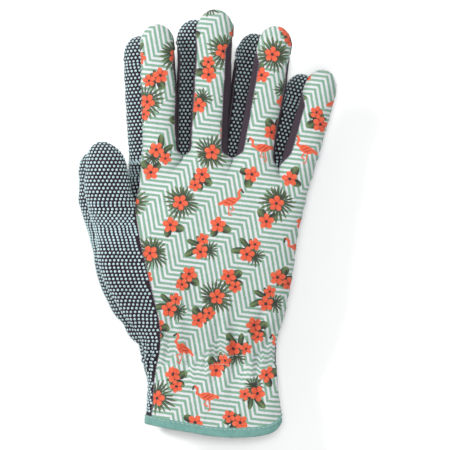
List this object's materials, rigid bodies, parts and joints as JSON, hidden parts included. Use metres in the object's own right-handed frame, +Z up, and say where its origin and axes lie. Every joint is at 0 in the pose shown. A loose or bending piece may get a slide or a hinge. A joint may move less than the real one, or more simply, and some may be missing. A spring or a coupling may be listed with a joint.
{
  "type": "gardening gloves",
  "caption": "Pair of light sewn garden gloves lying palm to palm, with a printed back, a dotted grip palm, finger gussets, an elastic wrist and a bound cuff.",
  "frame": {"origin": "middle of the pair's box, on the surface that it lies on", "axes": "+Y towards the fingertips, +X towards the little fingers, +Z up, out of the back of the right glove, which lies on the left one"},
  "size_m": [0.1492, 0.2382, 0.048],
  "materials": {
    "printed_jersey": "matt printed knit, striped with leaves, flowers and birds",
    "dotted_knit": "matt knit with raised pale grip dots",
    "gusset_knit": "matt knit",
    "binding_tape": "matt woven tape",
    "thread": "sewing thread",
    "elastic": "woven elastic"
  },
  "bodies": {
    "right_hand": {"right_back_panel": "printed_jersey", "right_palm_panel": "dotted_knit", "right_thumb_base": "dotted_knit", "right_index_middle_web": "gusset_knit", "right_middle_ring_web": "gusset_knit", "right_ring_little_web": "gusset_knit", "right_wrist_elastic": "elastic", "right_elastic_stitching": "thread", "right_cuff_binding": "binding_tape", "right_binding_stitching": "thread"},
    "right_index": {"right_index_back": "printed_jersey", "right_index_palm": "dotted_knit", "right_index_gusset": "gusset_knit"},
    "right_middle": {"right_middle_back": "printed_jersey", "right_middle_palm": "dotted_knit", "right_middle_gussets": "gusset_knit"},
    "right_ring": {"right_ring_back": "printed_jersey", "right_ring_palm": "dotted_knit", "right_ring_gussets": "gusset_knit"},
    "right_little": {"right_little_back": "printed_jersey", "right_little_palm": "dotted_knit", "right_little_gusset": "gusset_knit"},
    "right_thumb": {"right_thumb_back": "dotted_knit", "right_thumb_palm": "dotted_knit"},
    "left_hand": {"left_back_panel": "printed_jersey", "left_palm_panel": "dotted_knit", "left_thumb_base": "dotted_knit", "left_index_middle_web": "gusset_knit", "left_middle_ring_web": "gusset_knit", "left_ring_little_web": "gusset_knit", "left_wrist_elastic": "elastic", "left_elastic_stitching": "thread", "left_cuff_binding": "binding_tape", "left_binding_stitching": "thread"},
    "left_index": {"left_index_back": "printed_jersey", "left_index_palm": "dotted_knit", "left_index_gusset": "gusset_knit"},
    "left_middle": {"left_middle_back": "printed_jersey", "left_middle_palm": "dotted_knit", "left_middle_gussets": "gusset_knit"},
    "left_ring": {"left_ring_back": "printed_jersey", "left_ring_palm": "dotted_knit", "left_ring_gussets": "gusset_knit"},
    "left_little": {"left_little_back": "printed_jersey", "left_little_palm": "dotted_knit", "left_little_gusset": "gusset_knit"},
    "left_thumb": {"left_thumb_back": "dotted_knit", "left_thumb_palm": "dotted_knit"}
  },
  "joints": [
    {"name": "right_glove_lift", "type": "slide", "parent": "left_hand", "child": "right_hand", "axis": [0, 0, 1], "range_m": [0, 0.09]},
    {"name": "right_index_fold", "type": "hinge", "parent": "right_hand", "child": "right_index", "pos_m": [0.01172, 0.03589, 0.0359], "axis": [1, 0, 0], "range_deg": [0, 75]},
    {"name": "right_middle_fold", "type": "hinge", "parent": "right_hand", "child": "right_middle", "pos_m": [0.01172, 0.03589, 0.0359], "axis": [1, 0, 0], "range_deg": [0, 75]},
    {"name": "right_ring_fold", "type": "hinge", "parent": "right_hand", "child": "right_ring", "pos_m": [0.01172, 0.03589, 0.0359], "axis": [1, 0, 0], "range_deg": [0, 75]},
    {"name": "right_little_fold", "type": "hinge", "parent": "right_hand", "child": "right_little", "pos_m": [0.01172, 0.03589, 0.0359], "axis": [1, 0, 0], "range_deg": [0, 75]},
    {"name": "right_thumb_fold", "type": "hinge", "parent": "right_hand", "child": "right_thumb", "pos_m": [0.01172, 0.00989, 0.04309], "axis": [1, 0, 0], "range_deg": [0, 70]},
    {"name": "left_index_spread", "type": "hinge", "parent": "left_hand", "child": "left_index", "pos_m": [-0.04271, 0.03161, 0.009], "axis": [0, 0, 1], "range_deg": [0, 6]},
    {"name": "left_middle_spread", "type": "hinge", "parent": "left_hand", "child": "left_middle", "pos_m": [-0.0173, 0.03258, 0.009], "axis": [0, 0, 1], "range_deg": [0, 4]},
    {"name": "left_ring_spread", "type": "hinge", "parent": "left_hand", "child": "left_ring", "pos_m": [0.02946, 0.03438, 0.009], "axis": [0, 0, -1], "range_deg": [0, 4]},
    {"name": "left_little_spread", "type": "hinge", "parent": "left_hand", "child": "left_little", "pos_m": [0.05453, 0.03534, 0.009], "axis": [0, 0, -1], "range_deg": [0, 10]},
    {"name": "left_thumb_spread", "type": "hinge", "parent": "left_hand", "child": "left_thumb", "pos_m": [-0.07489, 0.00482, 0.009], "axis": [0, 0, 1], "range_deg": [0, 18]}
  ]
}
